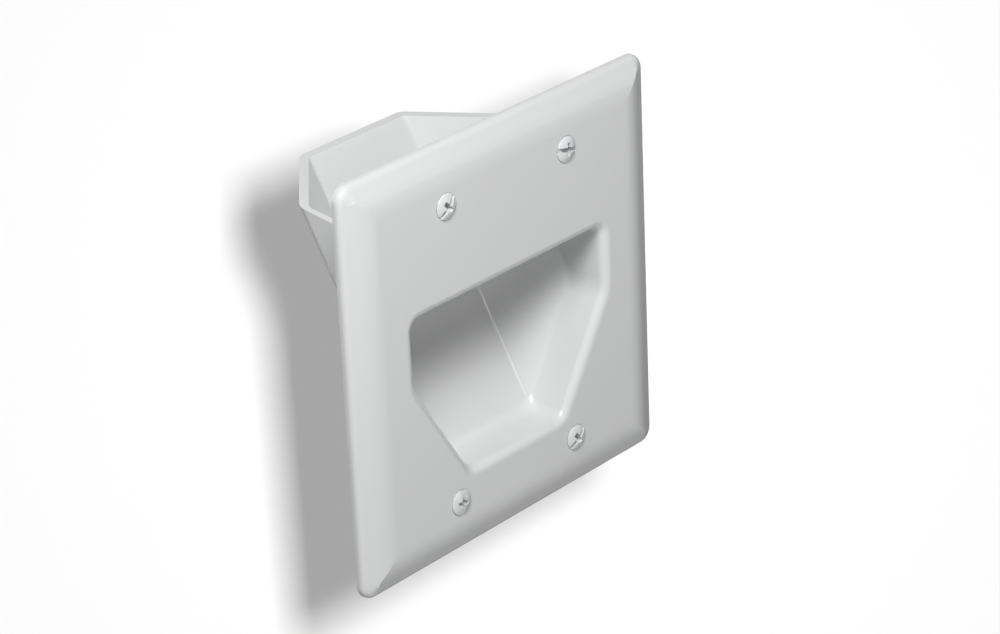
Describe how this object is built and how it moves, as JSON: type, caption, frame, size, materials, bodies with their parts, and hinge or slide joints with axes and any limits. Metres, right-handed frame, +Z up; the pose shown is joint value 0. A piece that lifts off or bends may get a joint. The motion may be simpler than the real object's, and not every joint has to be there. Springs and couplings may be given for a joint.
{
  "type": "recessed low voltage wall plate",
  "caption": "White moulded double wall plate with bevelled edges, a recessed mouth with slanted lower sides, an open topped cable chute behind it and oval head screws.",
  "frame": {"origin": "on the wall plane, at the centre of the pattern of four screws", "axes": "+X to the right as seen from the room, +Y into the wall, +Z up; the face of the plate looks along -Y"},
  "size_m": [0.116, 0.0563, 0.1142],
  "materials": {
    "white_moulding": "smooth glossy moulding",
    "white_paint": "gloss paint on steel"
  },
  "bodies": {
    "root": {"recessed_wall_plate": "white_moulding", "top_left_screw": "white_paint", "top_right_screw": "white_paint", "bottom_left_screw": "white_paint", "bottom_right_screw": "white_paint"}
  },
  "joints": []
}
